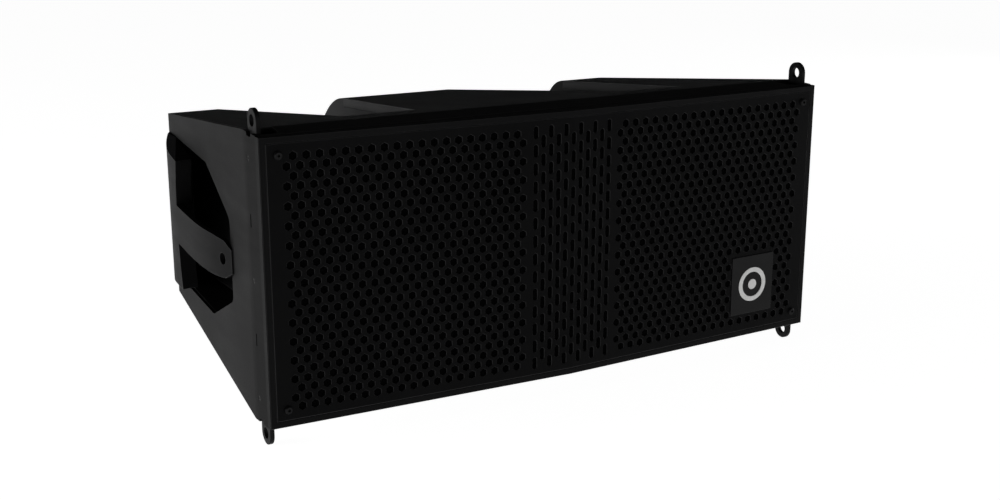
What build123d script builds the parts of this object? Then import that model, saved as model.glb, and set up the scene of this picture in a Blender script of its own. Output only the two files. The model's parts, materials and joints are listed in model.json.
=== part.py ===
"""Twin-woofer line array loudspeaker, modelled as its separate pieces.

Axes: +X to the right seen from the front, +Y towards the rear, +Z up.
The origin is the centre of the bounding box. All sizes are millimetres.
Depths ("d" or "depth") are counted rearwards from the fold line of the grille.
"""
import math
import os

from build123d import *

os.makedirs("parts", exist_ok=True)

# ---- cabinet ----
DEPTH = 596.0              # fold line of the grille to the rear link
FRONT_Y = -DEPTH / 2       # Y of the grille's fold line
HALF_W = 357.5             # half width over the side plates, at the front
HALF_H = 154.0             # half height at the crease
FRONT_HALF_H = 152.0       # half height of the front frame
CREASE_D = 57.0            # depth where sides, top and bottom start to taper
TOE = math.tan(math.radians(5.35))     # side plates lean in towards the rear
TAPER_ANGLE = math.radians(6.1)        # top and bottom close towards the rear
TAPER = math.tan(TAPER_ANGLE)
FOLD = math.tan(math.radians(2.02))    # each half of the grille leans back
FRAME_D = 21.0             # rear face of the front frame's flange
LOBE_TOP_D = 425.0         # rear edge of the top panel on the side lobes
LOBE_REAR_D = 490.0        # rearmost point of a side lobe
CENTRE_TOP_D = 439.0       # rear edge of the top panel on the centre body
CENTRE_REAR_D = 580.0      # flat rear face of the centre body
CAP_R = 71.0               # rounding of the lobes' rear covers, seen from the side
CENTRE_CAP_R = 255.0       # flatter rounding of the centre's rear cover
CAP_T = 5.0                # wall of the moulded rear covers
BOARD_T = 12.0             # plywood boards
PLATE_T = 4.0              # steel side plates

# ---- valleys between the centre body and the side lobes ----
VALLEY_D = 110.0           # front end of a valley
CENTRE_X = 139.0           # centre body's half width at VALLEY_D
CENTRE_LEAN = 0.175
LOBE_X = 223.0             # lobe's inner face at VALLEY_D
LOBE_LEAN = 0.107
POD_HALF_H = 73.0          # woofer housing that bridges the valley
POD_REAR_D = 200.0
POD_T = 6.0

# ---- side opening and handle ----
OPENING = [(130, 46), (230, 89), (395, 92), (395, -92), (230, -89), (130, -46)]
OPENING_R = 12.0
RECESS = [(130, 46), (230, 89), (450, 92), (450, -92), (230, -89), (130, -46)]
CUP_INNER_X = 289.0        # inner face of the hand recess
CUP_T = 3.0
STRAP_T = 6.0
STRAP_HALF_H = 23.0
STRAP_HOLE_R = 6.6
STRAP_HOLE_D = 142.0

# ---- rigging ----
LUG_T = 5.0
LUG_D = 39.0               # depth of the lugs' centre line
LUG_R = 12.5
LUG_HOLE_R = 6.3
LUG_HOLE_Z = 165.0
SIDE_SCREW_D = 43.0
SIDE_SCREW_Z = (-127.0, 0.0, 127.0)

# ---- front ----
FRAME_BAND = 6.6           # visible width of the frame round the grille
GRILLE_GAP = 0.6
GRILLE_T = 1.5
GRILLE_SCREW = (338.0, 133.0)

# ---- drivers ----
WOOFER_X = 196.0
BAFFLE_D = 54.0            # front face of the baffle
BAFFLE_T = 15.0
BASKET_R = 131.0
WOOFER_BOLT_R = 125.5
WOOFER_BOLTS = 8
HORN_D = 160.0             # rear flange of the waveguide

# ---- rear ----
LINK_D = 588.5             # rear link's pivot
LINK_Z = 72.0
LINK_PIN_R = 4.0
LINK_EYE_R = 3.2
LINK_LENGTH = 45.0
CONNECTOR_X = 27.0


def side_x(d, inset=0.0):
    """Half width of the cabinet at a depth, less an inset."""
    return HALF_W - inset - TOE * max(0.0, d - CREASE_D)


def top_z(d, inset=0.0):
    """Half height of the cabinet at a depth, less an inset."""
    if d < CREASE_D:
        return FRONT_HALF_H + (HALF_H - FRONT_HALF_H) * (d / CREASE_D) - inset
    return HALF_H - TAPER * (d - CREASE_D) - inset


def centre_x(d, inset=0.0):
    """Half width of the centre body at a depth."""
    return CENTRE_X - CENTRE_LEAN * (d - VALLEY_D) - inset


def lobe_x(d, inset=0.0):
    """Inner face of a side lobe at a depth."""
    return LOBE_X + LOBE_LEAN * (d - VALLEY_D) + inset


def mirrored(points):
    """The points followed by their mirror image across the first axis."""
    return points + [(-a, b) for a, b in reversed(points) if a != 0]


def plan(points, radius=0.0):
    """Outline seen from above, from (x, depth) points."""
    with BuildSketch(Plane.XY) as outline:
        Polygon(*[(x, FRONT_Y + d) for x, d in points], align=None)
        if radius:
            fillet(outline.vertices(), radius)
    return outline.sketch


def side_view(points, radius=0.0):
    """Outline seen from the side, from (depth, z) points."""
    with BuildSketch(Plane.YZ) as outline:
        Polygon(*[(FRONT_Y + d, z) for d, z in points], align=None)
        if radius:
            fillet(outline.vertices(), radius)
    return outline.sketch


def front_view(points, radius=0.0):
    """Outline seen from the front, from (x, z) points."""
    with BuildSketch(Plane.XZ) as outline:
        Polygon(*points, align=None)
        if radius:
            fillet(outline.vertices(), radius)
    return outline.sketch


def rectangle_at(half_w, half_h):
    """Corners of a rectangle about the centre line."""
    return [(-half_w, -half_h), (half_w, -half_h), (half_w, half_h), (-half_w, half_h)]


def turned(points, x=0.0, z=0.0):
    """Solid turned about a front-to-rear axis, from (radius, depth) points."""
    with BuildPart() as piece:
        with BuildSketch(Plane.XY.offset(z)):
            Polygon(*[(x + r, FRONT_Y + d) for r, d in points], align=None)
        revolve(axis=Axis((x, 0, z), (0, 1, 0)))
    return piece.part


def cylinder_at(radius, x, z, d0, d1):
    """Round bar along Y between two depths."""
    return turned([(0, d0), (radius, d0), (radius, d1), (0, d1)], x, z)


def save(name, part):
    """Label a finished piece and write its STEP file."""
    part.label = name
    export_step(part, f"parts/{name}.step")


def save_pair(name, right):
    """Write a right-hand piece and its left-hand mirror image."""
    save("right_" + name, right)
    save("left_" + name, mirror(right, about=Plane.YZ))


# ---- top and bottom panels: three prongs, bent at the crease ----
PANEL_SIDE = PLATE_T
PRONGS = mirrored([
    (0, FRAME_D), (side_x(FRAME_D, PANEL_SIDE), FRAME_D), (side_x(CREASE_D, PANEL_SIDE), CREASE_D),
    (side_x(LOBE_TOP_D, PANEL_SIDE), LOBE_TOP_D), (lobe_x(LOBE_TOP_D), LOBE_TOP_D),
    (lobe_x(VALLEY_D), VALLEY_D), (centre_x(VALLEY_D), VALLEY_D),
    (centre_x(CENTRE_TOP_D), CENTRE_TOP_D), (0, CENTRE_TOP_D),
])
PANEL_BEND = [
    (FRAME_D, top_z(FRAME_D)), (CREASE_D, top_z(CREASE_D)), (CENTRE_TOP_D, top_z(CENTRE_TOP_D)),
    (CENTRE_TOP_D, top_z(CENTRE_TOP_D, BOARD_T)), (CREASE_D, top_z(CREASE_D, BOARD_T)),
    (FRAME_D, top_z(FRAME_D, BOARD_T)),
]
POCKET = [(354, 25), (354, 53), (327, 55), (330, 31), (336, 25)]

with BuildPart() as top_panel:
    extrude(plan(PRONGS), amount=200, both=True)
    extrude(side_view(PANEL_BEND), amount=400, both=True, mode=Mode.INTERSECT)
    for side in (1, -1):
        extrude(plan([(side * x, d) for x, d in POCKET]), amount=200, both=True, mode=Mode.SUBTRACT)
save("top_panel", top_panel.part)
save("bottom_panel", mirror(top_panel.part, about=Plane.XY))

# ---- plywood side boards inside the steel side plates ----
BOARD_OUTLINE = [
    (BAFFLE_D, top_z(BAFFLE_D, BOARD_T)), (CREASE_D, top_z(CREASE_D, BOARD_T)),
    (LOBE_TOP_D, top_z(LOBE_TOP_D, BOARD_T)), (LOBE_TOP_D, -top_z(LOBE_TOP_D, BOARD_T)),
    (CREASE_D, -top_z(CREASE_D, BOARD_T)), (BAFFLE_D, -top_z(BAFFLE_D, BOARD_T)),
]
with BuildPart() as side_board:
    extrude(plan([
        (side_x(BAFFLE_D, PLATE_T), BAFFLE_D), (side_x(CREASE_D, PLATE_T), CREASE_D),
        (side_x(LOBE_TOP_D, PLATE_T), LOBE_TOP_D), (side_x(LOBE_TOP_D, PLATE_T + BOARD_T), LOBE_TOP_D),
        (side_x(CREASE_D, PLATE_T + BOARD_T), CREASE_D), (side_x(BAFFLE_D, PLATE_T + BOARD_T), BAFFLE_D),
    ]), amount=200, both=True)
    extrude(side_view(BOARD_OUTLINE), amount=400, both=True, mode=Mode.INTERSECT)
    extrude(offset(side_view(RECESS, OPENING_R), amount=CUP_T), amount=400, mode=Mode.SUBTRACT)
save_pair("side_board", side_board.part)

# ---- steel side plates with the six-sided hand opening ----
with BuildPart() as side_plate:
    extrude(plan([
        (side_x(FRAME_D), FRAME_D), (side_x(CREASE_D), CREASE_D), (side_x(LOBE_TOP_D), LOBE_TOP_D),
        (side_x(LOBE_TOP_D, PLATE_T), LOBE_TOP_D), (side_x(CREASE_D, PLATE_T), CREASE_D),
        (side_x(FRAME_D, PLATE_T), FRAME_D),
    ]), amount=200, both=True)
    extrude(side_view([
        (FRAME_D, top_z(FRAME_D)), (CREASE_D, top_z(CREASE_D)), (LOBE_TOP_D, top_z(LOBE_TOP_D)),
        (LOBE_TOP_D, -top_z(LOBE_TOP_D)), (CREASE_D, -top_z(CREASE_D)), (FRAME_D, -top_z(FRAME_D)),
    ]), amount=400, both=True, mode=Mode.INTERSECT)
    extrude(side_view(OPENING, OPENING_R), amount=400, mode=Mode.SUBTRACT)
    for side in (1, -1):
        notch = [(LUG_D - 9, side * 160), (LUG_D + 9, side * 160),
                 (LUG_D + 5, side * (HALF_H - 4.5)), (LUG_D - 5, side * (HALF_H - 4.5))]
        extrude(side_view(notch), amount=400, mode=Mode.SUBTRACT)
    for z in SIDE_SCREW_Z:
        with Locations(Location((HALF_W, FRONT_Y + SIDE_SCREW_D, z), (0, 90, 0))):
            CounterSinkHole(radius=1.7, counter_sink_radius=3.0, counter_sink_angle=90)
    with BuildSketch(Plane.YZ.offset(HALF_W - 20)):
        with Locations((FRONT_Y + SIDE_SCREW_D, 63), (FRONT_Y + SIDE_SCREW_D, -63)):
            SlotOverall(14, 2.4, rotation=90)
    extrude(amount=40, mode=Mode.SUBTRACT)
save_pair("side_plate", side_plate.part)

# ---- rigging bars: an eye above and below the cabinet, joined by a straight bar ----
BAR_OUTER_X = HALF_W - PLATE_T
with BuildPart() as rigging_bar:
    with BuildSketch(Plane.YZ.offset(BAR_OUTER_X - LUG_T)):
        with Locations((FRONT_Y + LUG_D, 0)):
            Rectangle(2 * LUG_R, 2 * LUG_HOLE_Z)
        for side in (1, -1):
            with Locations((FRONT_Y + LUG_D, side * LUG_HOLE_Z)):
                Circle(LUG_R)
        for side in (1, -1):
            with Locations((FRONT_Y + LUG_D, side * LUG_HOLE_Z)):
                Circle(LUG_HOLE_R, mode=Mode.SUBTRACT)
        for z in SIDE_SCREW_Z:
            with Locations((FRONT_Y + SIDE_SCREW_D, z)):
                Circle(1.6, mode=Mode.SUBTRACT)
    extrude(amount=LUG_T)
    fillet(rigging_bar.edges().filter_by(GeomType.CIRCLE).filter_by(
        lambda e: abs(e.radius - LUG_R) < 0.01), 0.8)
save_pair("rigging_bar", rigging_bar.part)

with BuildPart() as side_screws:
    for side in (1, -1):
        for z in SIDE_SCREW_Z:
            with BuildSketch(Plane.XY.offset(z)):
                Polygon(*[(side * x, FRONT_Y + SIDE_SCREW_D + r) for x, r in (
                    (HALF_W - 0.3, 0), (HALF_W - 0.3, 2.65), (HALF_W - 1.5, 1.45),
                    (HALF_W - 9, 1.45), (HALF_W - 9, 0))], align=None)
            revolve(axis=Axis((0, FRONT_Y + SIDE_SCREW_D, z), (1, 0, 0)))
            with BuildSketch(Plane.YZ.offset(side * (HALF_W - 0.3))):
                with Locations((FRONT_Y + SIDE_SCREW_D, z)):
                    RegularPolygon(1.2, 6)
            extrude(amount=-side * 1.3, mode=Mode.SUBTRACT)
save("side_screws", side_screws.part)

# ---- handle: a strap across the opening that spreads into a band round the rear corner ----
STRAP_PATH = [(353.3, 122), (356.8, 144), (359.8, 173), (360.4, 199), (357.7, 252),
              (352.8, 308), (344.4, 367), (332.5, 404), (316, 436)]
STRAP_OUTLINE = [(110, 13), (121.8, 13), (138, 21), (166, STRAP_HALF_H), (316, STRAP_HALF_H),
                 (313, 50), (306, 77.5), (381, 92), (440, 92)]
BAND_D = 304.0             # behind this depth the band is solid down to the side plate


def strap_plan(near_d, inset, thickness):
    """Plan of the strap rearwards of a depth, under its outer face, with a thickness along X."""
    path = [(x - inset, FRONT_Y + d) for x, d in STRAP_PATH if d >= near_d]
    with BuildSketch(Plane.XY) as strip:
        with BuildLine():
            outer = Spline(*path)
            inner = Spline(*[(x - thickness, y) for x, y in path])
            Line(outer @ 0, inner @ 0)
            Line(outer @ 1, inner @ 1)
        make_face()
    return strip.sketch


with BuildPart() as handle:
    extrude(strap_plan(0, 0, STRAP_T), amount=120, both=True)
    extrude(strap_plan(BAND_D, STRAP_T / 2, 40), amount=120, both=True)
    with BuildSketch(Plane.YZ) as strap_side:
        with BuildLine():
            upper = [(FRONT_Y + d, z) for d, z in STRAP_OUTLINE]
            lower = [(y, -z) for y, z in reversed(upper)]
            Polyline(*upper, *lower, close=True)
        make_face()
        fillet(strap_side.vertices().filter_by(
            lambda v: abs(v.Y - (FRONT_Y + 316)) < 0.1 and abs(v.Z) < 30), 16)
        fillet(strap_side.vertices().filter_by(
            lambda v: abs(v.Y - (FRONT_Y + 166)) < 0.1 or abs(v.Y - (FRONT_Y + 138)) < 0.1), 22)
    extrude(strap_side.sketch, amount=400, mode=Mode.INTERSECT)
    extrude(front_view([(300, -93), (327, -93), (366, -70), (366, 70), (327, 93), (300, 93)]),
            amount=300, both=True, mode=Mode.INTERSECT)
    extrude(plan([(200, 60), (side_x(60), 60), (side_x(LOBE_TOP_D), LOBE_TOP_D), (304, 463),
                  (200, 463)]), amount=200, both=True, mode=Mode.SUBTRACT)
    with BuildSketch(Plane.YZ.offset(340)):
        with Locations((FRONT_Y + STRAP_HOLE_D, 0)):
            Circle(STRAP_HOLE_R)
    extrude(amount=40, mode=Mode.SUBTRACT)
save_pair("handle", handle.part)

# ---- hand recess behind each opening ----
with BuildPart() as hand_space:
    extrude(plan([(400, 127), (CUP_INNER_X, 127), (CUP_INNER_X, 450), (298, 450),
                  (side_x(396, PLATE_T), 396), (400, 396)]), amount=200, both=True)
    extrude(side_view(RECESS, OPENING_R), amount=500, mode=Mode.INTERSECT)
with BuildPart() as handle_cup:
    extrude(plan([
        (side_x(127, PLATE_T), 127), (CUP_INNER_X - CUP_T, 127), (CUP_INNER_X - CUP_T, 453),
        (300, 453), (side_x(418, PLATE_T), 418),
    ]), amount=200, both=True)
    extrude(offset(side_view(RECESS, OPENING_R), amount=CUP_T), amount=400, mode=Mode.INTERSECT)
    add(hand_space.part, mode=Mode.SUBTRACT)
save_pair("handle_cup", handle_cup.part)

# ---- walls of the lobes and of the centre body ----
UNDER_PANELS = [
    (VALLEY_D - POD_T, top_z(VALLEY_D - POD_T, BOARD_T)), (CENTRE_TOP_D, top_z(CENTRE_TOP_D, BOARD_T)),
    (CENTRE_TOP_D, -top_z(CENTRE_TOP_D, BOARD_T)), (VALLEY_D - POD_T, -top_z(VALLEY_D - POD_T, BOARD_T)),
]
WALL_D = VALLEY_D - POD_T
with BuildPart() as lobe_wall:
    extrude(plan([(lobe_x(WALL_D), WALL_D), (lobe_x(LOBE_TOP_D), LOBE_TOP_D),
                  (lobe_x(LOBE_TOP_D, BOARD_T), LOBE_TOP_D), (lobe_x(WALL_D, BOARD_T), WALL_D)]),
            amount=200, both=True)
    extrude(side_view(UNDER_PANELS), amount=400, both=True, mode=Mode.INTERSECT)
    extrude(side_view([(90, -60), (142, -60), (142, 60), (90, 60)]), amount=400, mode=Mode.SUBTRACT)
save_pair("lobe_wall", lobe_wall.part)

with BuildPart() as centre_walls:
    for side in (1, -1):
        extrude(plan([(side * x, d) for x, d in (
            (centre_x(WALL_D), WALL_D), (centre_x(CENTRE_TOP_D), CENTRE_TOP_D),
            (centre_x(CENTRE_TOP_D, BOARD_T), CENTRE_TOP_D), (centre_x(WALL_D, BOARD_T), WALL_D))]),
            amount=200, both=True)
    extrude(side_view(UNDER_PANELS), amount=400, both=True, mode=Mode.INTERSECT)
save("centre_walls", centre_walls.part)

# ---- moulded woofer housings that bridge the valleys ----


def valley_plan(d0, d1, spread=0.0):
    """The valley's outline between two depths, widened by a spread."""
    return plan([(centre_x(d0, spread), d0), (lobe_x(d0, spread), d0),
                 (lobe_x(d1, spread), d1), (centre_x(d1, spread), d1)])


with BuildPart() as woofer_pod:
    extrude(valley_plan(WALL_D, POD_REAR_D), amount=POD_HALF_H, both=True)
    extrude(valley_plan(WALL_D, VALLEY_D), amount=top_z(VALLEY_D, BOARD_T), both=True)
    extrude(valley_plan(WALL_D - 5, POD_REAR_D - POD_T, 9), amount=POD_HALF_H - POD_T, both=True,
            mode=Mode.SUBTRACT)
save_pair("woofer_pod", woofer_pod.part)

# ---- moulded rear covers ----


def cover_profile(rear_d, inset, start):
    """Side outline of a rear cover, rounded at the top and bottom of its rear face."""
    arc_y = FRONT_Y + rear_d - CAP_R
    arc_z = top_z(rear_d) - CAP_R * math.tan((math.pi / 2 - TAPER_ANGLE) / 2)
    r = CAP_R - inset

    def on_arc(angle, side):
        return arc_y + r * math.sin(angle), side * (arc_z + r * math.cos(angle))

    half_way = (TAPER_ANGLE + math.pi / 2) / 2
    with BuildSketch(Plane.YZ) as outline:
        with BuildLine():
            Line((FRONT_Y + start, -top_z(start, inset)), (FRONT_Y + start, top_z(start, inset)))
            Line((FRONT_Y + start, top_z(start, inset)), on_arc(TAPER_ANGLE, 1))
            ThreePointArc(on_arc(TAPER_ANGLE, 1), on_arc(half_way, 1), on_arc(math.pi / 2, 1))
            Line(on_arc(math.pi / 2, 1), on_arc(math.pi / 2, -1))
            ThreePointArc(on_arc(math.pi / 2, -1), on_arc(half_way, -1), on_arc(TAPER_ANGLE, -1))
            Line(on_arc(TAPER_ANGLE, -1), (FRONT_Y + start, -top_z(start, inset)))
        make_face()
    return outline.sketch


CENTRE_ARC_Y = FRONT_Y + CENTRE_TOP_D - CENTRE_CAP_R * math.sin(TAPER_ANGLE)
CENTRE_ARC_Z = top_z(CENTRE_TOP_D) - CENTRE_CAP_R * math.cos(TAPER_ANGLE)


def centre_profile(inset, start):
    """Side outline of the centre's rear cover: two wide arcs that meet a flat rear face."""
    r = CENTRE_CAP_R - inset
    rear_y = FRONT_Y + CENTRE_REAR_D - inset
    last = math.asin((rear_y - CENTRE_ARC_Y) / r)

    def on_arc(angle, side):
        return CENTRE_ARC_Y + r * math.sin(angle), side * (CENTRE_ARC_Z + r * math.cos(angle))

    half_way = (TAPER_ANGLE + last) / 2
    with BuildSketch(Plane.YZ) as outline:
        with BuildLine():
            Polyline(on_arc(TAPER_ANGLE, -1), (FRONT_Y + start, -top_z(start, inset)),
                     (FRONT_Y + start, top_z(start, inset)), on_arc(TAPER_ANGLE, 1))
            ThreePointArc(on_arc(TAPER_ANGLE, 1), on_arc(half_way, 1), on_arc(last, 1))
            Line(on_arc(last, 1), on_arc(last, -1))
            ThreePointArc(on_arc(last, -1), on_arc(half_way, -1), on_arc(TAPER_ANGLE, -1))
        make_face()
    return outline.sketch


def lobe_plan(inset):
    """Plan of a lobe's rear cover: its outer rear corner is one wide arc."""
    start = LOBE_TOP_D - 5
    rear_y = FRONT_Y + LOBE_REAR_D - inset
    arc_from = (side_x(LOBE_TOP_D) - inset, FRONT_Y + LOBE_TOP_D)
    arc_to = (270, rear_y)
    with BuildSketch(Plane.XY) as outline:
        with BuildLine():
            Line((side_x(LOBE_TOP_D) - inset, FRONT_Y + start), arc_from)
            ThreePointArc(arc_from, (304 - 0.8 * inset, FRONT_Y + 463 - 0.6 * inset), arc_to)
            Polyline(arc_to, (lobe_x(LOBE_REAR_D, inset), rear_y), (lobe_x(start, inset), FRONT_Y + start),
                     (side_x(LOBE_TOP_D) - inset, FRONT_Y + start))
        make_face()
    return outline.sketch


with BuildPart() as lobe_inside:
    extrude(lobe_plan(CAP_T), amount=200, both=True)
    extrude(cover_profile(LOBE_REAR_D, CAP_T, LOBE_TOP_D - 6), amount=400, both=True,
            mode=Mode.INTERSECT)
with BuildPart() as lobe_cover:
    extrude(lobe_plan(0), amount=200, both=True)
    extrude(cover_profile(LOBE_REAR_D, 0, LOBE_TOP_D), amount=400, both=True, mode=Mode.INTERSECT)
    add(lobe_inside.part, mode=Mode.SUBTRACT)
save_pair("lobe_cover", lobe_cover.part)

PLATE_HALF_W = 51.0
PLATE_HALF_H = 38.0
PLATE_SCREWS = [(sx * 46.0, sz * 33.0) for sx in (1, -1) for sz in (1, -1)]
with BuildPart() as centre_inside:
    extrude(plan(mirrored([(centre_x(CENTRE_TOP_D - 5, CAP_T), CENTRE_TOP_D - 5),
                           (centre_x(CENTRE_REAR_D, CAP_T), CENTRE_REAR_D)])), amount=200, both=True)
    extrude(centre_profile(CAP_T, CENTRE_TOP_D - 5), amount=400, both=True, mode=Mode.INTERSECT)
with BuildPart() as centre_cover:
    extrude(plan(mirrored([(centre_x(CENTRE_TOP_D), CENTRE_TOP_D),
                           (centre_x(CENTRE_REAR_D), CENTRE_REAR_D)])), amount=200, both=True)
    extrude(centre_profile(0, CENTRE_TOP_D - 2), amount=400, both=True, mode=Mode.INTERSECT)
    add(centre_inside.part, mode=Mode.SUBTRACT)
    extrude(front_view(rectangle_at(PLATE_HALF_W - 10, PLATE_HALF_H - 10)), amount=-400,
            mode=Mode.SUBTRACT)
    for x, z in PLATE_SCREWS:
        add(cylinder_at(1.7, x, z, CENTRE_REAR_D - 8, CENTRE_REAR_D + 1), mode=Mode.SUBTRACT)
save("centre_cover", centre_cover.part)

# ---- rear connector plate ----
PLATE_D = CENTRE_REAR_D
PLATE_THICK = 2.5
SOCKET_R = 12.0
with BuildPart() as connector_plate:
    extrude(front_view(rectangle_at(PLATE_HALF_W, PLATE_HALF_H), 4),
            amount=-(FRONT_Y + PLATE_D + PLATE_THICK))
    extrude(front_view(rectangle_at(100, 100)), amount=-(FRONT_Y + PLATE_D), mode=Mode.SUBTRACT)
    for x in (CONNECTOR_X, -CONNECTOR_X):
        add(cylinder_at(SOCKET_R + 0.5, x, 0, PLATE_D - 5, PLATE_D + 9), mode=Mode.SUBTRACT)
    for x, z in PLATE_SCREWS:
        add(cylinder_at(1.7, x, z, PLATE_D - 5, PLATE_D + 9), mode=Mode.SUBTRACT)
save("connector_plate", connector_plate.part)

with BuildPart() as connectors:
    flange_d = PLATE_D + PLATE_THICK
    for x in (CONNECTOR_X, -CONNECTOR_X):
        with BuildSketch(Plane.XZ.offset(-(FRONT_Y + flange_d))):
            with Locations((x, 0)):
                RectangleRounded(27, 32, 3)
        extrude(amount=-3)
        add(cylinder_at(SOCKET_R, x, 0, flange_d - 24, flange_d))
        add(cylinder_at(9.5, x, 0, flange_d - 14, flange_d + 5), mode=Mode.SUBTRACT)
        for sx, sz in ((1, 1), (-1, -1)):
            add(cylinder_at(1.6, x + sx * 10, sz * 12.5, flange_d - 1, flange_d + 5), mode=Mode.SUBTRACT)
save("connectors", connectors.part)

with BuildPart() as plate_screws:
    for x, z in PLATE_SCREWS:
        add(turned([(0, PLATE_D - 8), (1.65, PLATE_D - 8), (1.65, flange_d), (3.6, flange_d),
                    (3.6, flange_d + 0.8), (2.4, flange_d + 2.2), (0, flange_d + 2.2)], x, z))
        with BuildSketch(Plane.XZ.offset(-(FRONT_Y + flange_d + 2.2))):
            with Locations((x, z)):
                RegularPolygon(1.3, 6)
        extrude(amount=1.4, mode=Mode.SUBTRACT)
save("plate_screws", plate_screws.part)

# ---- rear rigging: two ears on the centre cover, a hinged link and its pin ----
EAR_X = 9.0
EAR_T = 4.0
with BuildPart() as rear_bracket:
    with BuildSketch(Plane.YZ):
        with Locations((CENTRE_ARC_Y, CENTRE_ARC_Z)):
            Circle(CENTRE_CAP_R + 2.5)
            Circle(CENTRE_CAP_R, mode=Mode.SUBTRACT)
        Polygon((FRONT_Y + 480, 54), (FRONT_Y + 620, 54), (FRONT_Y + 620, 88), (FRONT_Y + 480, 88),
                align=None, mode=Mode.INTERSECT)
    extrude(amount=EAR_X + EAR_T, both=True)
    for side in (1, -1):
        with BuildSketch(Plane.YZ.offset(side * EAR_X)):
            Polygon((FRONT_Y + 525, 85), (FRONT_Y + LINK_D, LINK_Z + 7.5), (FRONT_Y + LINK_D, LINK_Z - 7.5),
                    (FRONT_Y + 574, 57), (FRONT_Y + 560, 57), align=None)
            with Locations((FRONT_Y + LINK_D, LINK_Z)):
                Circle(7.5)
            with Locations((CENTRE_ARC_Y, CENTRE_ARC_Z)):
                Circle(CENTRE_CAP_R, mode=Mode.SUBTRACT)
        extrude(amount=side * EAR_T)
    with BuildSketch(Plane.YZ):
        with Locations((FRONT_Y + LINK_D, LINK_Z)):
            Circle(LINK_PIN_R)
    extrude(amount=40, both=True, mode=Mode.SUBTRACT)
save("rear_bracket", rear_bracket.part)

with BuildPart() as rear_link:
    with BuildSketch(Plane.YZ):
        with Locations((FRONT_Y + LINK_D, LINK_Z - LINK_LENGTH / 2)):
            SlotCenterToCenter(LINK_LENGTH, 11, rotation=90)
        with Locations((FRONT_Y + LINK_D, LINK_Z)):
            Circle(LINK_PIN_R + 0.06, mode=Mode.SUBTRACT)
        with Locations((FRONT_Y + LINK_D, LINK_Z - LINK_LENGTH)):
            Circle(LINK_EYE_R, mode=Mode.SUBTRACT)
    extrude(amount=4, both=True)
save("rear_link", rear_link.part)

with BuildPart() as link_pin:
    with BuildSketch(Plane.YZ.offset(-EAR_X - EAR_T - 2)):
        with Locations((FRONT_Y + LINK_D, LINK_Z)):
            Circle(6)
    extrude(amount=2)
    with BuildSketch(Plane.YZ.offset(-EAR_X - EAR_T)):
        with Locations((FRONT_Y + LINK_D, LINK_Z)):
            Circle(LINK_PIN_R)
    extrude(amount=2 * (EAR_X + EAR_T) + 3)
save("link_pin", link_pin.part)

# ---- front frame ----
OPEN_W = HALF_W - FRAME_BAND
OPEN_H = FRONT_HALF_H - FRAME_BAND
RAIL_W = 337.5             # inner half width of the ledge behind the grille
RAIL_H = 137.5
BOSS_REAR_D = 25.0         # rear end of the grille screws' bosses


def folded(near, far, half_w):
    """Plan of a band that follows the grille's fold, between two depths behind it."""
    return plan([(0, near), (half_w, half_w * FOLD + near), (half_w, half_w * FOLD + far), (0, far),
                 (-half_w, half_w * FOLD + far), (-half_w, half_w * FOLD + near)])


CORNERS = [(sx * GRILLE_SCREW[0], sz * GRILLE_SCREW[1]) for sx in (1, -1) for sz in (1, -1)]
with BuildPart() as front_frame:
    extrude(plan([(0, 0), (HALF_W, HALF_W * FOLD), (HALF_W, FRAME_D), (-HALF_W, FRAME_D),
                  (-HALF_W, HALF_W * FOLD)]), amount=FRONT_HALF_H, both=True)
    rim = front_frame.edges().filter_by(
        lambda e: e.length > 290 and e.center().Y < FRONT_Y + 14
        and (abs(e.center().Z) > FRONT_HALF_H - 0.1 or abs(e.center().X) > HALF_W - 0.1))
    chamfer(rim, 0.8)
    extrude(folded(-5, GRILLE_T, OPEN_W), amount=OPEN_H, both=True, mode=Mode.SUBTRACT)
    with BuildSketch(Plane.XZ.offset(-FRONT_Y - FRAME_D)):
        Rectangle(2 * 347.5, 2 * 140.2)
    extrude(amount=-(BAFFLE_D - FRAME_D))
    extrude(front_view(rectangle_at(RAIL_W, RAIL_H)), amount=300, mode=Mode.SUBTRACT)
    with BuildSketch(Plane.XZ.offset(-FRONT_Y - BOSS_REAR_D)):
        with Locations(*[(sx * 340, sz * 140) for sx in (1, -1) for sz in (1, -1)]):
            Rectangle(30, 28)
    extrude(amount=-(BAFFLE_D - BOSS_REAR_D - 1.5), mode=Mode.SUBTRACT)
    for x, z in CORNERS:
        add(cylinder_at(7.5, x, z, 15, BOSS_REAR_D))
    for x, z in CORNERS:
        add(cylinder_at(2.1, x, z, 0, 40), mode=Mode.SUBTRACT)
save("front_frame", front_frame.part)

# ---- grille ----
GRILLE_W = OPEN_W - GRILLE_GAP
GRILLE_H = OPEN_H - GRILLE_GAP
BADGE = (237.0, 302.0, -123.0, -50.0)      # x from, x to, z from, z to

with BuildPart() as grille:
    extrude(folded(0, GRILLE_T, GRILLE_W), amount=GRILLE_H, both=True)
    for x, z in CORNERS:
        add(cylinder_at(2.7, x, z, 0, 30), mode=Mode.SUBTRACT)
save("grille", grille.part)

FOAM_T = 5.0
with BuildPart() as grille_foam:
    extrude(folded(GRILLE_T, GRILLE_T + FOAM_T, RAIL_W - 0.5), amount=RAIL_H - 0.5, both=True)
    for x, z in CORNERS:
        add(cylinder_at(8, x, z, 0, 40), mode=Mode.SUBTRACT)
save("grille_foam", grille_foam.part)

with BuildPart() as badge_plate:
    with BuildSketch(Plane.XZ):
        Polygon((BADGE[0], BADGE[2]), (BADGE[1], BADGE[2]), (BADGE[1], BADGE[3]), (BADGE[0], BADGE[3]),
                align=None)
    extrude(amount=300, both=True)
    extrude(folded(-1.2, 0, 340), amount=200, both=True, mode=Mode.INTERSECT)
save("badge_plate", badge_plate.part)

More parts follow.
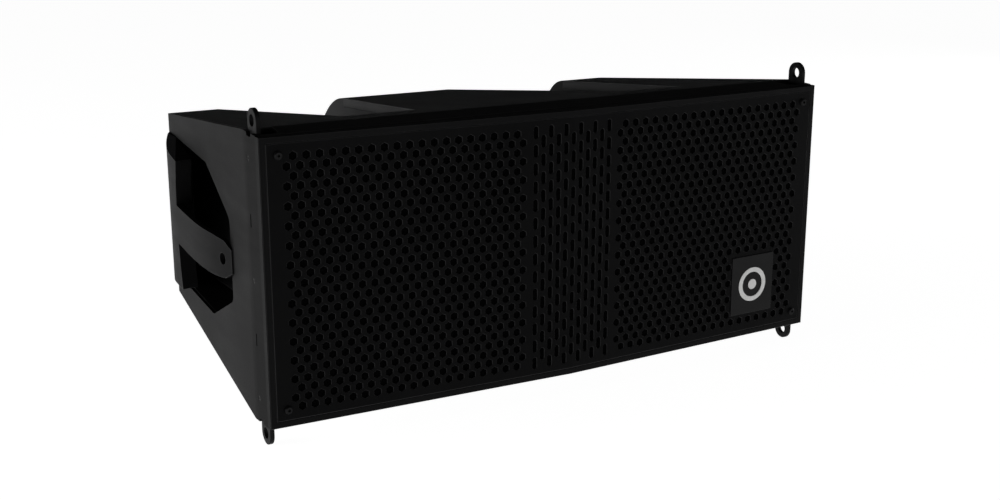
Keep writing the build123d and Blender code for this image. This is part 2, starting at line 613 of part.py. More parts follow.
with BuildPart() as grille_screws:
    for x, z in CORNERS:
        seat = abs(x) * FOLD - 0.3
        add(turned([(0, BOSS_REAR_D - 1), (2.0, BOSS_REAR_D - 1), (2.0, seat), (4.2, seat),
                    (4.2, seat - 1.6), (3.2, seat - 2.8), (0, seat - 2.8)], x, z))
        with BuildSketch(Plane.XZ.offset(-FRONT_Y - seat + 2.8)):
            with Locations((x, z)):
                RegularPolygon(1.75, 6)
        extrude(amount=-2.2, mode=Mode.SUBTRACT)
save("grille_screws", grille_screws.part)

# ---- baffle, ports and waveguide ----
BAFFLE_REAR_D = BAFFLE_D + BAFFLE_T
PORT_R = 22.0
PORTS = [(sx * 310.0, sz * 111.0) for sx in (1, -1) for sz in (1, -1)]
BOLTS = [(sx * WOOFER_X + WOOFER_BOLT_R * math.cos(math.radians(22.5 + 45 * i)),
          WOOFER_BOLT_R * math.sin(math.radians(22.5 + 45 * i)))
         for sx in (1, -1) for i in range(WOOFER_BOLTS)]
with BuildPart() as baffle:
    with BuildSketch(Plane.XZ.offset(-FRONT_Y - BAFFLE_D)):
        Rectangle(2 * 340, 2 * 140.4)
        Rectangle(108, 248, mode=Mode.SUBTRACT)
        with Locations((WOOFER_X, 0), (-WOOFER_X, 0)):
            Circle(121, mode=Mode.SUBTRACT)
        with Locations(*PORTS):
            Circle(PORT_R, mode=Mode.SUBTRACT)
        with Locations(*BOLTS):
            Circle(2.6, mode=Mode.SUBTRACT)
    extrude(amount=-BAFFLE_T)
save("baffle", baffle.part)

with BuildPart() as port_tubes:
    for x, z in PORTS:
        add(turned([(PORT_R - 2, BAFFLE_D), (PORT_R, BAFFLE_D), (PORT_R, 118), (PORT_R - 2, 118)],
                   x, z))
save("port_tubes", port_tubes.part)



def horn(grow):
    """The waveguide's air path, widened all round by its wall."""
    sections = [(14, 108, 240, 8), (BAFFLE_D, 84, 232, 8), (100, 30, 190, 8), (HORN_D, 24, 24, 11.9)]
    with BuildPart() as path:
        for near, far in zip(sections, sections[1:]):
            for d, w, h, corner in (near, far):
                with BuildSketch(Plane.XZ.offset(-FRONT_Y - d)):
                    RectangleRounded(w + 2 * grow, h + 2 * grow, corner + grow)
            loft(ruled=True)
    return path.part


with BuildPart() as waveguide:
    add(horn(3.5))
    add(horn(0), mode=Mode.SUBTRACT)
    with BuildSketch(Plane.XZ.offset(-FRONT_Y - BAFFLE_D + 3)):
        RectangleRounded(124, 264, 6)
        RectangleRounded(86, 226, 8, mode=Mode.SUBTRACT)
    extrude(amount=-3)
    add(turned([(12, HORN_D - 6), (44, HORN_D - 6), (44, HORN_D), (12, HORN_D)]))
save("waveguide", waveguide.part)

# ---- woofers ----


def roll(x):
    """Half-roll rubber surround with its two flat lips."""
    with BuildPart() as piece:
        with BuildSketch(Plane.XY):
            with BuildLine():
                c = x + 106.5
                y = FRONT_Y + BAFFLE_D - 6
                Polyline((c - 9, y + 1.2), (c - 9, y), (c - 7.5, y))
                ThreePointArc((c - 7.5, y), (c, y - 7.5), (c + 7.5, y))
                Polyline((c + 7.5, y), (c + 12, y), (c + 12, y + 1.2), (c + 6.3, y + 1.2))
                ThreePointArc((c + 6.3, y + 1.2), (c, y - 6.3), (c - 6.3, y + 1.2))
                Line((c - 6.3, y + 1.2), (c - 9, y + 1.2))
            make_face()
        revolve(axis=Axis((x, 0, 0), (0, 1, 0)))
    return piece.part


with BuildPart() as basket:
    add(turned([(112.8, 49.2), (BASKET_R, 49.2), (BASKET_R, BAFFLE_D), (120, BAFFLE_D), (68, 100), (68, 104),
                (30, 104), (30, 100.5), (64, 100.5), (64, 98), (115.6, 52.4), (112.8, 52.4)], WOOFER_X))
    with BuildSketch(Plane.XZ.offset(-FRONT_Y - 58)):
        with Locations((WOOFER_X, 0)):
            with PolarLocations(0, 6):
                Polygon((73, -20), (106, -34), (106, 34), (73, 20), align=None)
    extrude(amount=-38, mode=Mode.SUBTRACT)
    for x, z in BOLTS[:WOOFER_BOLTS]:
        add(cylinder_at(2.75, x, z, 45, 58), mode=Mode.SUBTRACT)
save_pair("woofer_basket", basket.part)

WOOFER_PIECES = {
    "woofer_top_plate": [(26.9, 104), (55.5, 104), (55.5, 111), (26.9, 111)],
    "woofer_magnet": [(32, 111), (56, 111), (56, 127), (32, 127)],
    "woofer_yoke": [(0, 104), (23.6, 104), (23.6, 127), (52, 127), (50, 135), (0, 135)],
    "woofer_cone": [(97.1, 48.2), (97.1, 49.6), (26.4, 87), (25.3, 87), (25.3, 85)],
    "woofer_dust_cap": [(0, 72.2), (12, 73.4), (22, 76.8), (29, 81.8), (29, 83), (21.6, 78), (12, 74.6),
                        (0, 73.4)],
    "woofer_voice_coil": [(24.6, 85), (25.3, 85), (25.3, 106), (26.0, 106), (26.0, 117), (24.6, 117)],
    "woofer_spider": [(26.6, 93), (32, 95), (38, 92), (44, 95), (50, 92), (56, 95), (60, 97), (63.9, 97),
                      (63.9, 98), (59.6, 98), (56, 96.2), (50, 93.2), (44, 96.2), (38, 93.2), (32, 96.2),
                      (26.6, 94.2)],
}
for name, outline in WOOFER_PIECES.items():
    save_pair(name, turned(outline, WOOFER_X))
save_pair("woofer_surround", roll(WOOFER_X))

with BuildPart() as woofer_bolts:
    for x, z in BOLTS:
        add(turned([(0, 66), (2.5, 66), (2.5, 49.2), (4.5, 49.2), (4.5, 45.2), (0, 45.2)], x, z))
        with BuildSketch(Plane.XZ.offset(-FRONT_Y - 45.2)):
            with Locations((x, z)):
                RegularPolygon(2.3, 6)
        extrude(amount=-2.4, mode=Mode.SUBTRACT)
save("woofer_bolts", woofer_bolts.part)

# ---- compression driver ----
save("hf_motor", turned([(12, HORN_D), (45, HORN_D), (45, 198), (23.7, 198), (23.7, 186), (21.3, 186),
                         (21.3, 196), (16, 198), (12, 196)]))
save("hf_diaphragm", turned([(22.9, 190), (22.9, 199.4), (20, 202.4), (14, 205), (7, 206.4), (0, 206.8),
                             (0, 206.4), (7, 206), (13.8, 204.6), (19.8, 202), (22.3, 199.4), (22.3, 190)]))
save("hf_cover", turned([(0, 222), (40, 222), (44, 218), (44, 198), (30, 198), (30, 214), (0, 214)]))

# ---- crossover ----
BOARD_Z = -100.0
POSTS = [(sx * 48.0, d) for sx in (1, -1) for d in (256, 344)]
with BuildPart() as crossover_board:
    with BuildSketch(Plane.XY.offset(BOARD_Z)):
        with Locations((0, FRONT_Y + 300)):
            RectangleRounded(112, 104, 3)
    extrude(amount=1.6)
    for x, d in POSTS:
        with BuildSketch(Plane.XY.offset(BOARD_Z)):
            with Locations((x, FRONT_Y + d)):
                Circle(3.5)
        extrude(amount=-24)
    extrude(side_view([(200, -top_z(200, BOARD_T)), (400, -top_z(400, BOARD_T)), (400, -200), (200, -200)]),
            amount=200, both=True, mode=Mode.SUBTRACT)
save("crossover_board", crossover_board.part)

with BuildPart() as crossover_coils:
    for x, d, r, h in ((-28, 276, 21, 24), (26, 322, 17, 20)):
        with BuildSketch(Plane.XY.offset(BOARD_Z + 1.6)):
            with Locations((x, FRONT_Y + d)):
                Circle(r)
                Circle(r * 0.45, mode=Mode.SUBTRACT)
        extrude(amount=h)
save("crossover_coils", crossover_coils.part)

with BuildPart() as crossover_capacitors:
    for x, d, r, length in ((28, 274, 10, 38), (-26, 318, 8, 32), (-26, 338, 8, 32)):
        with BuildSketch(Plane.YZ.offset(x - length / 2)):
            with Locations((FRONT_Y + d, BOARD_Z + 1.6 + r)):
                Circle(r)
        extrude(amount=length)
save("crossover_capacitors", crossover_capacitors.part)
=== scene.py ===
"""Looks of the line array speaker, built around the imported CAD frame. Metres, +Y to the rear."""

import json
import math

import bmesh
import bpy
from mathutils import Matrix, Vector
from mathutils.geometry import delaunay_2d_cdt


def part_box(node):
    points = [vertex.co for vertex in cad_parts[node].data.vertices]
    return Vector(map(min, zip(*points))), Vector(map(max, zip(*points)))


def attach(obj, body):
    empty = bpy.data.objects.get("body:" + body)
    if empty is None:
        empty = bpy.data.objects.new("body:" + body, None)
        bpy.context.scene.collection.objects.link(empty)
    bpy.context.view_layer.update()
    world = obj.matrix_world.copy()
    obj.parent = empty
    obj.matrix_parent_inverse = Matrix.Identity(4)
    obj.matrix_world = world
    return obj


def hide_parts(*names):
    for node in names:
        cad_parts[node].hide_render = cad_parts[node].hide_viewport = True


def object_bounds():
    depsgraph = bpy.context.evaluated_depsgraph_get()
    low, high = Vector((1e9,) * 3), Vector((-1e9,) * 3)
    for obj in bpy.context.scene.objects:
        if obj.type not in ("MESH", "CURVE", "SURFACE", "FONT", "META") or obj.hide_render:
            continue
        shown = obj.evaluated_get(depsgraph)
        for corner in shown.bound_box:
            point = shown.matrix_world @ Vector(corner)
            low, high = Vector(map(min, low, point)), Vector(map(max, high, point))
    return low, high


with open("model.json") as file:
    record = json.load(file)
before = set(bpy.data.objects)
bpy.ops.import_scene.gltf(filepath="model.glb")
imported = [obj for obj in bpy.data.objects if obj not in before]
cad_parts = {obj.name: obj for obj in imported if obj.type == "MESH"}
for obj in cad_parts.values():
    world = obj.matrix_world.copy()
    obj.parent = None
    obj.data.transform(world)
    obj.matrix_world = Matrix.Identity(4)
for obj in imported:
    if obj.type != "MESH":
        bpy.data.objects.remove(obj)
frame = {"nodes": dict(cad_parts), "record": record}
cad_low, cad_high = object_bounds()
MM = 0.001
FRONT_Y = cad_low.y                 # the grille's fold line
FLOOR_Z = cad_low.z - 0.0004
FOLD = math.tan(math.radians(2.02))

# ---------------------------------------------------------------- materials


class Mat:
    """A node material with helpers for the few nodes that every finish here uses."""

    def __init__(self, name):
        self.material = bpy.data.materials.new(name)
        self.material.use_nodes = True
        self.tree = self.material.node_tree
        self.shader = self.tree.nodes["Principled BSDF"]
        self.place = self.tree.nodes.new("ShaderNodeTexCoord").outputs["Object"]

    def link(self, source, target):
        self.tree.links.new(source, target)
        return self

    def stretched(self, scale):
        node = self.tree.nodes.new("ShaderNodeMapping")
        node.inputs["Scale"].default_value = scale
        self.link(self.place, node.inputs["Vector"])
        return node.outputs["Vector"]

    def noise(self, scale, detail=4.0, rough=0.55, at=None):
        node = self.tree.nodes.new("ShaderNodeTexNoise")
        node.inputs["Scale"].default_value = scale
        node.inputs["Detail"].default_value = detail
        node.inputs["Roughness"].default_value = rough
        self.link(at or self.place, node.inputs["Vector"])
        return node.outputs["Fac"]

    def cells(self, scale, feature="F1"):
        node = self.tree.nodes.new("ShaderNodeTexVoronoi")
        node.feature = feature
        node.inputs["Scale"].default_value = scale
        self.link(self.place, node.inputs["Vector"])
        return node.outputs["Distance"]

    def wave(self, scale, direction, distortion=0.0, at=None):
        node = self.tree.nodes.new("ShaderNodeTexWave")
        node.wave_type = "BANDS"
        node.bands_direction = direction
        node.inputs["Scale"].default_value = scale
        node.inputs["Distortion"].default_value = distortion
        self.link(at or self.place, node.inputs["Vector"])
        return node.outputs["Fac"]

    def spread(self, source, low, high, low_in=0.3, high_in=0.7):
        node = self.tree.nodes.new("ShaderNodeMapRange")
        node.inputs["From Min"].default_value = low_in
        node.inputs["From Max"].default_value = high_in
        node.inputs["To Min"].default_value = low
        node.inputs["To Max"].default_value = high
        self.link(source, node.inputs["Value"])
        return node.outputs["Result"]

    def ramp(self, source, stops):
        node = self.tree.nodes.new("ShaderNodeValToRGB")
        elements = node.color_ramp.elements
        while len(elements) < len(stops):
            elements.new(0.5)
        for element, (at, colour) in zip(elements, stops):
            element.position = at
            element.color = (*colour, 1)
        self.link(source, node.inputs["Fac"])
        return node.outputs["Color"]

    def both(self, a, b, operation="ADD"):
        node = self.tree.nodes.new("ShaderNodeMath")
        node.operation = operation
        self.link(a, node.inputs[0]).link(b, node.inputs[1])
        return node.outputs["Value"]

    def bump(self, source, height):
        node = self.tree.nodes.new("ShaderNodeBump")
        node.inputs["Strength"].default_value = 1.0
        node.inputs["Distance"].default_value = height
        self.link(source, node.inputs["Height"])
        self.link(node.outputs["Normal"], self.shader.inputs["Normal"])

    def finish(self, colour, rough, spec=0.5, metallic=0.0, coat=0.0):
        self.link(colour, self.shader.inputs["Base Color"])
        self.link(rough, self.shader.inputs["Roughness"])
        self.shader.inputs["Specular IOR Level"].default_value = spec
        self.shader.inputs["Metallic"].default_value = metallic
        self.shader.inputs["Coat Weight"].default_value = coat
        self.shader.inputs["Coat Roughness"].default_value = 0.2
        return self.material


def shade(colour, factor):
    return tuple(c * factor for c in colour)


def coated(name, colour, rough, spec, grain, height, blotch=7.0, vary=0.25):
    """Painted, powder-coated or moulded finish: fine grain, soft blotches and faint rub marks."""
    m = Mat(name)
    patches = m.noise(blotch, 5)
    rubs = m.noise(60, 6, 0.7, m.stretched((1.0, 0.12, 1.0)))
    colours = m.ramp(m.both(patches, m.spread(rubs, -0.06, 0.10)), [
        (0.30, shade(colour, 1 - vary)), (0.52, colour), (0.74, shade(colour, 1 + vary))])
    fine = m.noise(grain, 3, 0.6)
    pits = m.spread(m.cells(grain * 0.8), 0.0, 0.6, 0.0, 0.8)
    m.bump(m.both(fine, pits), height)
    roughness = m.spread(m.both(patches, rubs, "MULTIPLY"), rough + 0.04, rough - 0.03, 0.15, 0.40)
    return m.finish(colours, roughness, spec)


def steel(name, colour, rough, grain=(900.0, 25.0, 900.0), height=0.00004):
    """Bare metal with drawn lines and a little tarnish."""
    m = Mat(name)
    lines = m.noise(1.0, 4, 0.6, m.stretched(grain))
    tarnish = m.noise(90, 4)
    colours = m.ramp(m.both(lines, tarnish, "MULTIPLY"), [
        (0.12, shade(colour, 0.62)), (0.26, colour), (0.45, shade(colour, 1.2))])
    m.bump(lines, height)
    return m.finish(colours, m.spread(tarnish, rough - 0.08, rough + 0.12), 0.5, 1.0)


def plywood():
    m = Mat("plywood")
    grain = m.wave(9, "Y", 7.0, at=m.stretched((1.0, 5.0, 14.0)))
    pores = m.noise(500, 3, 0.6, m.stretched((1.0, 0.06, 1.0)))
    colours = m.ramp(m.both(grain, m.spread(pores, -0.25, 0.25)), [
        (0.1, (0.30, 0.19, 0.10)), (0.5, (0.46, 0.32, 0.19)), (0.9, (0.56, 0.42, 0.27))])
    m.bump(m.both(grain, pores), 0.00015)
    return m.finish(colours, m.spread(pores, 0.55, 0.75), 0.3)


def foam():
    m = Mat("reticulated_foam")
    holes = m.cells(700)
    colours = m.ramp(holes, [(0.0, (0.0, 0.0, 0.0)), (0.5, (0.0010, 0.0010, 0.0011)),
                             (1.0, (0.0022, 0.0022, 0.0024))])
    m.bump(m.both(holes, m.noise(2000, 2)), 0.0010)
    return m.finish(colours, m.spread(m.noise(30), 0.92, 1.0), 0.02)


def fibre(name, colour, scale, height):
    """Pressed pulp: short fibres lying every way."""
    m = Mat(name)
    one = m.noise(scale, 6, 0.7, m.stretched((1.0, 0.3, 1.0)))
    two = m.noise(scale * 0.7, 6, 0.7, m.stretched((0.3, 1.0, 1.0)))
    felt = m.both(one, two, "MULTIPLY")
    colours = m.ramp(felt, [(0.12, shade(colour, 0.6)), (0.25, colour), (0.42, shade(colour, 1.7))])
    m.bump(felt, height)
    return m.finish(colours, m.spread(one, 0.7, 0.95), 0.2)


def woven(name, colour, scale):
    """Varnished cloth: warp and weft."""
    m = Mat(name)
    weave = m.both(m.wave(scale, "X"), m.wave(scale, "Z"), "MULTIPLY")
    tint = m.noise(60, 4)
    colours = m.ramp(m.both(weave, m.spread(tint, -0.2, 0.2)), [
        (0.0, shade(colour, 0.55)), (0.4, colour), (0.9, shade(colour, 1.25))])
    m.bump(weave, 0.0002)
    return m.finish(colours, m.spread(tint, 0.55, 0.75), 0.3)


def winding():
    m = Mat("copper_winding")
    turns = m.wave(330, "Y", 0.4)
    tint = m.noise(120, 3)
    colours = m.ramp(m.both(turns, m.spread(tint, -0.15, 0.15)), [
        (0.0, (0.25, 0.10, 0.04)), (0.45, (0.70, 0.33, 0.16)), (0.9, (0.85, 0.45, 0.24))])
    m.bump(turns, 0.0002)
    return m.finish(colours, m.spread(tint, 0.25, 0.4), 0.5, 1.0, 0.3)


def circuit():
    m = Mat("circuit_board")
    tracks = m.spread(m.cells(120, "DISTANCE_TO_EDGE"), 0.0, 1.0, 0.02, 0.05)
    tint = m.noise(25, 3)
    colours = m.ramp(m.both(tracks, m.spread(tint, -0.1, 0.1)), [
        (0.2, (0.05, 0.28, 0.13)), (0.6, (0.02, 0.16, 0.07)), (1.0, (0.02, 0.13, 0.06))])
    m.bump(tracks, 0.00005)
    return m.finish(colours, m.spread(tint, 0.25, 0.4), 0.5, 0.0, 0.4)


def film():
    m = Mat("capacitor_film")
    wraps = m.wave(40, "X", 1.0)
    tint = m.noise(60, 3)
    colours = m.ramp(m.both(wraps, m.spread(tint, -0.2, 0.2)), [
        (0.0, (0.60, 0.40, 0.06)), (0.5, (0.75, 0.53, 0.10)), (1.0, (0.82, 0.62, 0.18))])
    m.bump(wraps, 0.00006)
    return m.finish(colours, m.spread(tint, 0.2, 0.35), 0.5)


SIDE_BLACK = (0.0052, 0.0052, 0.0054)
TOP_BLACK = (0.0230, 0.0230, 0.0235)
MOULD_BLACK = (0.0075, 0.0075, 0.0078)
FRONT_BLACK = (0.0042, 0.0042, 0.0044)
# Lighter colour of rounded steel edges: a painted highlight along the edges, with rubbed wear
EDGE_WEAR_AND_HIGHLIGHT = (0.020, 0.020, 0.021)

side_coat = coated("side_powder_coat", SIDE_BLACK, 0.52, 0.03, 1500, 0.00007, 5.0, 0.07)
board_paint = coated("board_paint", TOP_BLACK, 0.60, 0.02, 900, 0.00018, 6.0, 0.10)
mould_grain = coated("moulded_grain", MOULD_BLACK, 0.56, 0.035, 1100, 0.00012, 6.0, 0.08)
front_coat = coated("front_powder_coat", FRONT_BLACK, 0.52, 0.05, 1500, 0.00007, 6.0, 0.10)
grille_coat = coated("grille_powder_coat", (0.0034, 0.0034, 0.0036), 0.54, 0.035, 1800, 0.00005, 6.0, 0.12)
# Edge finish of the grille: a painted highlight on the lips and walls of the punched holes
punched_lip_painted_highlight = coated("punched_lip_painted_highlight", (0.0170, 0.0170, 0.0175), 0.44, 0.12, 2200, 0.00004, 20.0, 0.2)
# Edge finish of the coated steel: painted highlight with rubbed wear on the rounded edges
steel_edge_wear_and_highlight = coated("steel_edge_wear_and_highlight", EDGE_WEAR_AND_HIGHLIGHT, 0.40, 0.30, 1400, 0.00005, 30.0, 0.35)
# Edge finish of boards, mouldings and connectors: three times lighter than the side coat, a painted
# highlight on the rounded edges
painted_edge_highlight = coated("painted_edge_highlight", shade(SIDE_BLACK, 3.0), 0.44, 0.20, 1400, 0.00005, 30.0, 0.3)
# Edge finish of the front frame, screws and badge: lighter than their coats, a painted highlight on the
# rounded edges
painted_front_highlight = coated("painted_front_highlight", (0.016, 0.016, 0.0165), 0.42, 0.20, 1400, 0.00005, 30.0, 0.3)
rigging_grey = coated("rigging_phosphate", (0.007, 0.007, 0.0073), 0.48, 0.06, 700, 0.00010, 120.0, 0.4)
# Edge finish of the rigging: painted highlight with rubbed wear on the rounded edges
rigging_highlight_and_wear = coated("rigging_wear_and_highlight_coat", (0.034, 0.034, 0.035), 0.40, 0.2, 900, 0.00006, 150.0, 0.5)
black_oxide = coated("black_oxide", (0.006, 0.006, 0.0063), 0.42, 0.10, 1600, 0.00004, 200.0, 0.4)
socket_plastic = coated("socket_plastic", (0.014, 0.014, 0.015), 0.30, 0.4, 1200, 0.00004, 60.0, 0.3)
badge_black = coated("badge_satin", (0.0040, 0.0040, 0.0042), 0.34, 0.10, 1500, 0.00003, 40.0, 0.3)
mark_white = coated("mark_enamel", (0.70, 0.70, 0.69), 0.35, 0.4, 900, 0.00003, 90.0, 0.05)
rubber = coated("surround_rubber", (0.012, 0.012, 0.012), 0.48, 0.3, 1300, 0.00006, 90.0, 0.3)
ferrite = coated("ferrite", (0.045, 0.045, 0.048), 0.62, 0.3, 500, 0.0002, 100.0, 0.35)
zinc = steel("zinc_plated", (0.50, 0.50, 0.50), 0.30)
cast = steel("cast_aluminium", (0.22, 0.22, 0.225), 0.48, (500.0, 500.0, 500.0), 0.0002)
foil = steel("formed_foil", (0.75, 0.75, 0.76), 0.22, (400.0, 400.0, 400.0), 0.00003)

# Each finish pairs a main coat with the lighter coat of its rounded edges, which paints their highlights
# (None keeps the main coat)
FINISHES = {
    "painted_board": (board_paint, painted_edge_highlight), "plywood": (plywood(), None),
    "coated_steel": (side_coat, steel_edge_wear_and_highlight), "rigging_steel": (rigging_grey, rigging_highlight_and_wear),
    "moulded_black": (mould_grain, painted_edge_highlight), "dark_screws": (black_oxide, painted_front_highlight),
    "bare_steel": (zinc, None), "connector_black": (socket_plastic, painted_edge_highlight),
    "frame_coat": (front_coat, painted_front_highlight), "grille_coat": (grille_coat, punched_lip_painted_highlight),
    "foam": (foam(), None), "badge": (badge_black, painted_front_highlight), "cast_aluminium": (cast, None),
    "ferrite": (ferrite, None), "cone_pulp": (fibre("cone_pulp", (0.025, 0.025, 0.026), 900, 0.0003), None),
    "copper_wire": (winding(), None), "spider_cloth": (woven("spider_cloth", (0.50, 0.36, 0.17), 400), None),
    "surround_rubber": (rubber, None), "diaphragm_foil": (foil, None),
    "circuit_board": (circuit(), None), "capacitor_film": (film(), None),
}
SLOT_OF = {row["node"]: row["material_slot"] for row in frame["record"]["subparts"]}
BODY_OF = {node: body for body, nodes in frame["record"]["behaviour"]["bodies"].items() for node in nodes}

for name, node in frame["nodes"].items():
    node.data.materials.clear()
    node.data.materials.append(FINISHES[SLOT_OF[name]][0])

# ---------------------------------------------------------------- pieces


def new_object(name, mesh, materials):
    piece = bpy.data.objects.new(name, mesh)
    bpy.context.scene.collection.objects.link(piece)
    for material in materials:
        mesh.materials.append(material)
    return piece


SHARP = math.radians(28)            # edges bent more than this are rounded
FLAT = math.radians(0.3)            # faces bent less than this are joined before rounding
WELD = 2e-6
FACES_THAT_WAY = 0.9                # cosine between a face's normal and the given direction


def softened(node, width, segments=2, facing=None):
    """Stands for a CAD node: the same shape with its sharp edges rounded, the rounding coloured in a lighter
    edge finish that is a painted highlight, with wear.
    With facing, only the edges of faces that point that way are rounded."""
    source = frame["nodes"][node].data
    work = bmesh.new()
    work.from_mesh(source)
    bmesh.ops.remove_doubles(work, verts=work.verts, dist=WELD)
    bmesh.ops.dissolve_limit(work, angle_limit=FLAT, verts=work.verts, edges=work.edges)
    weights = work.edges.layers.float.new("bevel_weight_edge")
    for line in work.edges:
        sharp = len(line.link_faces) == 2 and line.calc_face_angle() > SHARP
        if sharp and (facing is None
                      or any(f.normal.dot(facing) > FACES_THAT_WAY for f in line.link_faces)):
            line[weights] = 1.0
    for face in work.faces:
        face.smooth = True
    mesh = bpy.data.meshes.new(node + "_finished")
    work.to_mesh(mesh)
    work.free()
    main, edge_highlight_finish = FINISHES[SLOT_OF[node]]
    piece = new_object(node + "_finished", mesh, [main, edge_highlight_finish or main])
    bevel = piece.modifiers.new("rounding", "BEVEL")
    bevel.width = width
    bevel.segments = segments
    bevel.limit_method = "WEIGHT"
    # The bevel faces take the second, lighter material: a painted highlight along every rounded edge
    bevel.material = 1
    bevel.use_clamp_overlap = True
    normals = piece.modifiers.new("normals", "WEIGHTED_NORMAL")
    normals.weight = 100
    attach(piece, BODY_OF[node])
    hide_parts(node)


for side in ("left", "right"):
    softened(side + "_side_plate", 0.0013, 3)
    softened(side + "_handle", 0.0022, 3)
    softened(side + "_handle_cup", 0.0010)
    softened(side + "_lobe_cover", 0.0010, 3)
    softened(side + "_woofer_pod", 0.0020, 3)
    softened(side + "_rigging_bar", 0.0007)
softened("top_panel", 0.0008, facing=Vector((0, 0, 1)))
softened("bottom_panel", 0.0008, facing=Vector((0, 0, -1)))
for node, width in (("centre_cover", 0.0010), ("front_frame", 0.0006), ("connector_plate", 0.0005),
                    ("connectors", 0.0006), ("rear_bracket", 0.0006), ("rear_link", 0.0007),
                    ("badge_plate", 0.0003)):
    softened(node, width)

# ---- punched grille ----
# The rings of corners run anticlockwise in X and Z. Clockwise ones would stand for their outside.
SHEET_T = 1.5 * MM
CHAMFER = 0.4 * MM
OUTER_INSET = 0.8 * MM
BADGE_MARGIN = 5 * MM
GRILLE_W, GRILLE_H = 350.3 * MM, 144.8 * MM
PITCH, ROW_PITCH, ROWS = 14.0 * MM, 10.1 * MM, 27
HEXAGON_R = 8.2 * MM / math.sqrt(3)
BLOCK_X = 196.4 * MM
SLOT_PITCH, SLOT_COLUMNS = 9.52 * MM, 11
SLOT_R, SLOT_STRAIGHT = 2.8 * MM, 4.2 * MM
SCREW_X, SCREW_Z, SCREW_R = 338 * MM, 133 * MM, 2.7 * MM
badge_low, badge_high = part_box("badge_plate")


def ring_hexagon(x, z, grow):
    r = HEXAGON_R + grow * 2 / math.sqrt(3)
    return [(x - r * math.sin(math.radians(60 * i)), z + r * math.cos(math.radians(60 * i)))
            for i in range(6)]


def ring_slot(x, z, grow):
    r = SLOT_R + grow
    ends = [(SLOT_STRAIGHT, 22.5 * i) for i in range(-4, 5)] + [(-SLOT_STRAIGHT, 180 + 22.5 * i)
                                                                 for i in range(-4, 5)]
    return [(x - r * math.sin(math.radians(a)), z + centre + r * math.cos(math.radians(a)))
            for centre, a in ends]


def ring_round(x, z, grow):
    r = SCREW_R + grow
    return [(x - r * math.sin(math.radians(18 * i)), z + r * math.cos(math.radians(18 * i)))
            for i in range(20)]


def hole_places():
    """Every hole of the grille as (ring function, x, z)."""
    holes = [(ring_round, sx * SCREW_X, sz * SCREW_Z) for sx in (1, -1) for sz in (1, -1)]
    for row in range(ROWS):
        count = 19 + row % 2
        z = (row - (ROWS - 1) / 2) * ROW_PITCH
        for block in (1, -1):
            for i in range(count):
                x = block * BLOCK_X + (i - (count - 1) / 2) * PITCH
                hidden = (badge_low.x - BADGE_MARGIN < x < badge_high.x + BADGE_MARGIN
                          and badge_low.z - BADGE_MARGIN < z < badge_high.z + BADGE_MARGIN)
                if not hidden:
                    holes.append((ring_hexagon, x, z))
    for column in range(SLOT_COLUMNS):
        count = 14 - column % 2
        x = (column - (SLOT_COLUMNS - 1) / 2) * SLOT_PITCH
        holes += [(ring_slot, x, (i - (count - 1) / 2) * 2 * ROW_PITCH) for i in range(count)]
    return holes


def outline(inset):
    w, h = GRILLE_W - inset, GRILLE_H - inset
    return [(-w, -h), (0, -h), (w, -h), (w, h), (0, h), (-w, h)]


def punched_grille():
    """Folded sheet with hexagons, slots and screw holes, each with a small rounded lip; the lips and hole
    walls take a lighter finish, a painted highlight.
    """
    holes = hole_places()
    front = outline(OUTER_INSET)
    middle = outline(0.0)
    rings = [list(range(len(front)))]
    for make, x, z in holes:
        first = len(front)
        front += make(x, z, CHAMFER)
        middle += make(x, z, 0.0)
        rings.append(list(range(first, len(front))))
    on_fold = sorted((z, i) for i, (x, z) in enumerate(front) if abs(x) < 1e-7)
    fold_edges = [(a[1], b[1]) for a, b in zip(on_fold[::2], on_fold[1::2])]
    cut = delaunay_2d_cdt([Vector(p) for p in front], fold_edges, rings, 0, 1e-8, True)
    points, faces, from_points, from_faces = cut[0], cut[2], cut[3], cut[5]
    original = [ids[0] if ids else None for ids in from_points]
    assert len(points) == len(front) and None not in original
    count = len(front)

    def placed(flat, depth):
        return [(x, FRONT_Y + abs(x) * FOLD + depth, z) for x, z in flat]

    verts = placed(front, 0.0) + placed(middle, CHAMFER) + placed(middle, SHEET_T)
    polygons, kinds = [], []
    for face, owners in zip(faces, from_faces):
        if list(owners) == [0]:
            corner = [original[i] for i in face]
            polygons.append(corner)
            polygons.append([i + 2 * count for i in reversed(corner)])
            kinds += [0, 0]
    for ring in rings:
        # Lips and hole walls take material 1: the lighter finish, a painted highlight on the punched edges
        for a, b in zip(ring, ring[1:] + ring[:1]):
            polygons.append([b, a, a + count, b + count])
            polygons.append([b + count, a + count, a + 2 * count, b + 2 * count])
            kinds += [1, 1]
    mesh = bpy.data.meshes.new("grille_punched")
    mesh.from_pydata(verts, [], polygons)
    mesh.polygons.foreach_set("material_index", kinds)
    work = bmesh.new()
    work.from_mesh(mesh)
    bmesh.ops.recalc_face_normals(work, faces=work.faces)
    work.to_mesh(mesh)
    work.free()
    piece = new_object("grille_punched", mesh, [grille_coat, punched_lip_painted_highlight])
    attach(piece, "cabinet")
    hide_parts("grille")


punched_grille()

# ---- generic round mark on the badge plate ----
BADGE_FACE = 1.2 * MM               # the badge plate's face in front of the grille
MARK_RELIEF = 0.5 * MM
MARK_BEVEL = 0.3                    # mm, like the radii of the dot and the ring
MARK_RADII = [(0.0, 6.5), (15.5, 21.5)]
MARK_STEPS = 72


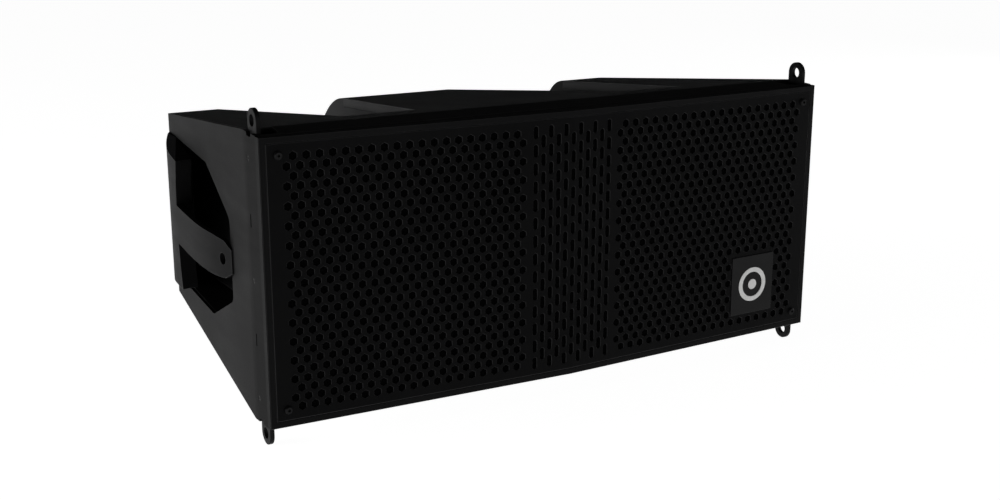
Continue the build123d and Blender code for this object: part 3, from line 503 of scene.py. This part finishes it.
def badge_mark():
    """A plain ring round a dot, in low relief on the badge plate."""
    centre = (badge_low + badge_high) / 2
    work = bmesh.new()
    for inner, outer in MARK_RADII:
        loops = []
        for r, rise in ((inner, 0.0), (inner + MARK_BEVEL, 1.0),
                        (outer - MARK_BEVEL, 1.0), (outer, 0.0)):
            ring = []
            for i in range(MARK_STEPS):
                angle = 2 * math.pi * i / MARK_STEPS
                x = centre.x + r * MM * math.cos(angle)
                z = centre.z + r * MM * math.sin(angle)
                y = FRONT_Y + x * FOLD - BADGE_FACE - MARK_RELIEF * rise
                ring.append(work.verts.new((x, y, z)))
            loops.append(ring)
        for near, far in zip(loops, loops[1:]):
            for i in range(MARK_STEPS):
                j = (i + 1) % MARK_STEPS
                work.faces.new((near[i], far[i], far[j], near[j]))
    bmesh.ops.remove_doubles(work, verts=work.verts, dist=1e-7)
    bmesh.ops.recalc_face_normals(work, faces=work.faces)
    mesh = bpy.data.meshes.new("badge_mark")
    work.to_mesh(mesh)
    work.free()
    piece = new_object("badge_mark", mesh, [mark_white])
    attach(piece, "cabinet")


badge_mark()

# ---------------------------------------------------------------- studio


def soft_light(name, place, aim, size, power):
    data = bpy.data.lights.new(name, "AREA")
    data.shape = "RECTANGLE"
    data.size, data.size_y = size
    data.energy = power
    lamp = bpy.data.objects.new(name, data)
    lamp.location = place
    lamp.rotation_euler = (Vector(aim) - Vector(place)).to_track_quat("-Z", "Y").to_euler()
    bpy.context.scene.collection.objects.link(lamp)


def studio_floor():
    mesh = bpy.data.meshes.new("floor")
    half = 40.0
    mesh.from_pydata([(-half, -half, FLOOR_Z), (half, -half, FLOOR_Z), (half, half, FLOOR_Z),
                      (-half, half, FLOOR_Z)], [], [(0, 1, 2, 3)])
    m = Mat("studio_floor")
    colours = m.ramp(m.noise(1.5, 2), [(0.3, (0.54, 0.54, 0.54)), (0.7, (0.56, 0.56, 0.56))])
    material = m.finish(colours, m.spread(m.noise(4, 2), 0.9, 1.0), 0.0)
    m.shader.inputs["Emission Color"].default_value = (1, 1, 1, 1)
    m.shader.inputs["Emission Strength"].default_value = 0.96
    new_object("floor", mesh, [material])


studio_floor()
soft_light("key", (-3.0, 0.35, 0.18), (0, 0, 0.0), (2.0, 0.7), 38)
soft_light("far_side", (3.2, 0.1, -0.04), (0, 0, 0.0), (1.6, 0.2), 26)
soft_light("front", (0.9, -3.2, 0.7), (0, 0, 0), (1.6, 1.6), 6)

world = bpy.data.worlds.new("studio")
world.use_nodes = True
world.node_tree.nodes["Background"].inputs["Color"].default_value = (1, 1, 1, 1)
world.node_tree.nodes["Background"].inputs["Strength"].default_value = 0.03
bpy.context.scene.world = world
bpy.context.scene.view_settings.view_transform = "Standard"

camera = bpy.data.cameras.new("camera")
camera.lens = 49.455
camera.sensor_width = 36
eye = bpy.data.objects.new("camera", camera)
eye.location = (-0.8107, FRONT_Y - 1.2420, 0.3916)
eye.rotation_euler = (math.radians(75), 0, math.radians(-30))
bpy.context.scene.collection.objects.link(eye)
bpy.context.scene.camera = eye
